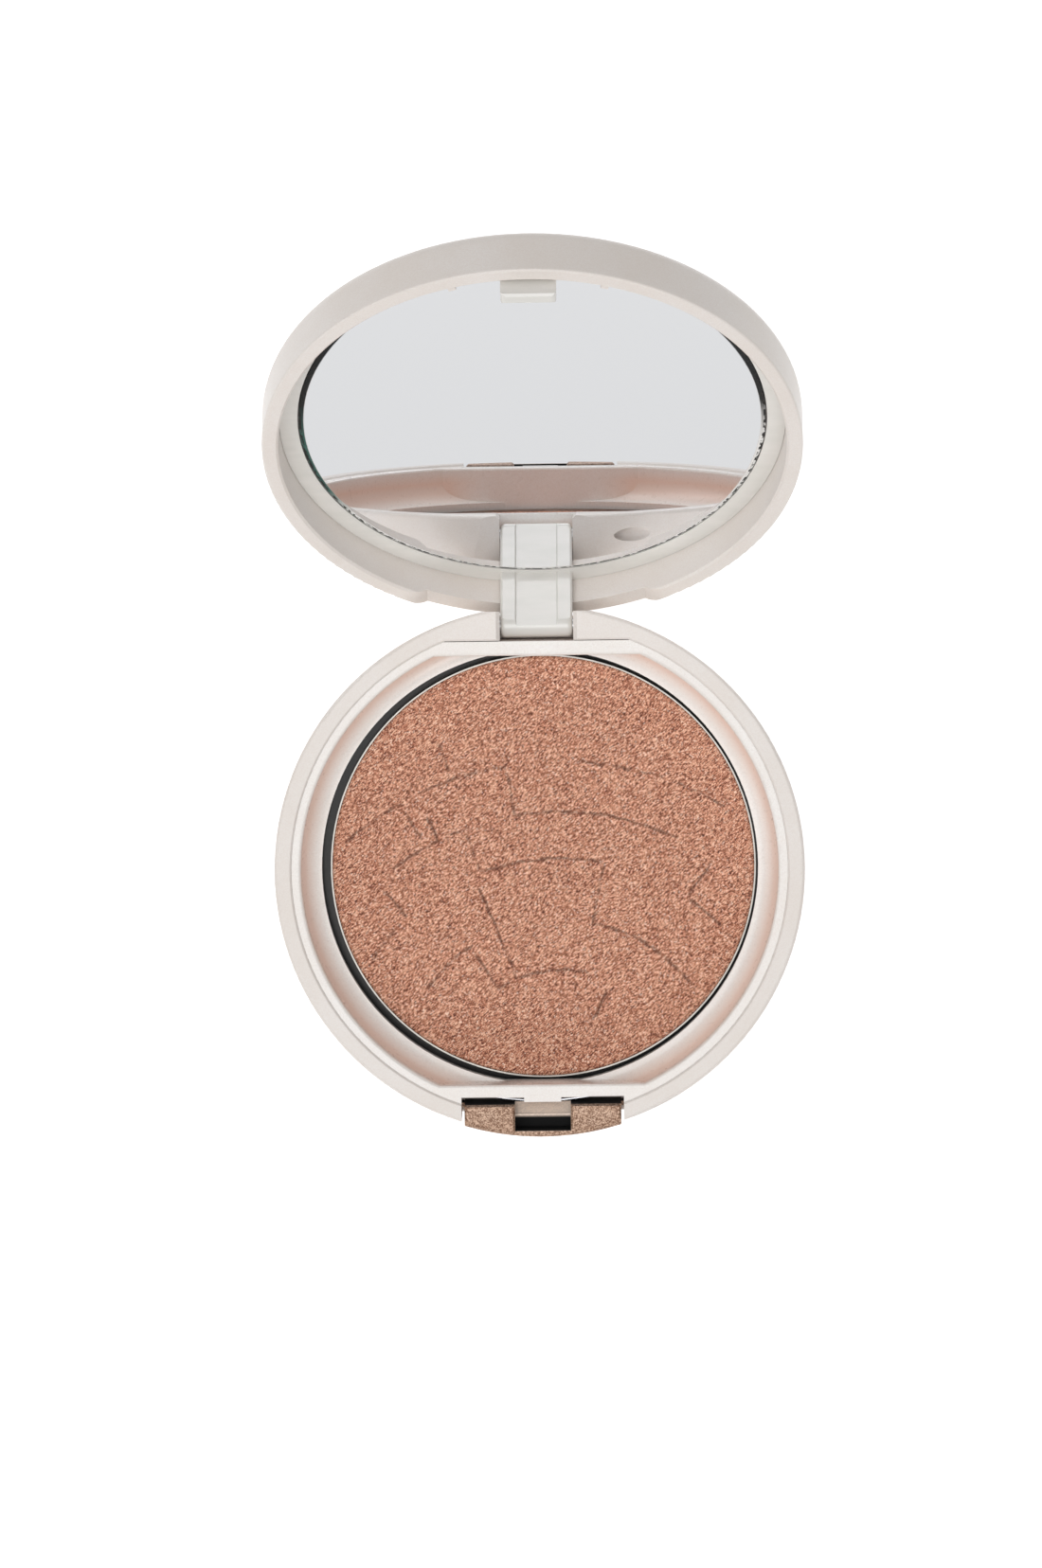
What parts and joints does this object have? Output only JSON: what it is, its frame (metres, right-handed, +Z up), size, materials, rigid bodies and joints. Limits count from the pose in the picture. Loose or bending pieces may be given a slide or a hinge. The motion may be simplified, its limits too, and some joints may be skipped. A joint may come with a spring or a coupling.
{
  "type": "powder compact",
  "caption": "Round powder compact shown open: a pan of pressed powder in a pale plastic base, a mirrored lid on a rear hinge, and a sprung front push button.",
  "frame": {"origin": "centre of the base's flat underside, on the surface that it stands on", "axes": "+Z up out of the base, +Y towards the hinge, -Y towards the push button, +X to the right with the button at the front"},
  "size_m": [0.073, 0.1258, 0.0575],
  "materials": {
    "ivory_plastic": "satin pearl ivory",
    "tray_plastic": "satin ivory, dusty under the pan",
    "frame_plastic": "gloss milky ivory",
    "adhesive": "matte foam pad",
    "pan_metal": "thin drawn pan, bare",
    "pressed_powder": "pressed shimmer powder with a fine woven grain",
    "label_paper": "blank satin label",
    "pin_steel": "drawn steel",
    "champagne_finish": "satin champagne metallic, bright edges",
    "spring_steel": "bright spring steel",
    "mirror": "flat silvered glass, ground edge"
  },
  "bodies": {
    "base": {"base_shell": "ivory_plastic", "pan_tray": "tray_plastic", "pan_adhesive": "adhesive", "powder_pan": "pan_metal", "powder_cake": "pressed_powder", "base_label": "label_paper", "hinge_pin": "pin_steel", "button_spring": "spring_steel"},
    "lid": {"lid_shell": "ivory_plastic", "mirror_frame": "frame_plastic", "mirror_adhesive": "adhesive", "mirror_glass": "mirror"},
    "button": {"push_button": "champagne_finish"}
  },
  "joints": [
    {"name": "lid_hinge", "type": "hinge", "parent": "base", "child": "lid", "pos_m": [0, 0.0336, 0.009], "axis": [1, 0, 0], "range_deg": [0, 133.6]},
    {"name": "button_press", "type": "slide", "parent": "base", "child": "button", "axis": [0, 1, 0], "range_m": [0, 0.0008], "stiffness_N_per_m": 1200, "springref_m": -0.0006, "deforming": ["button_spring"]}
  ]
}
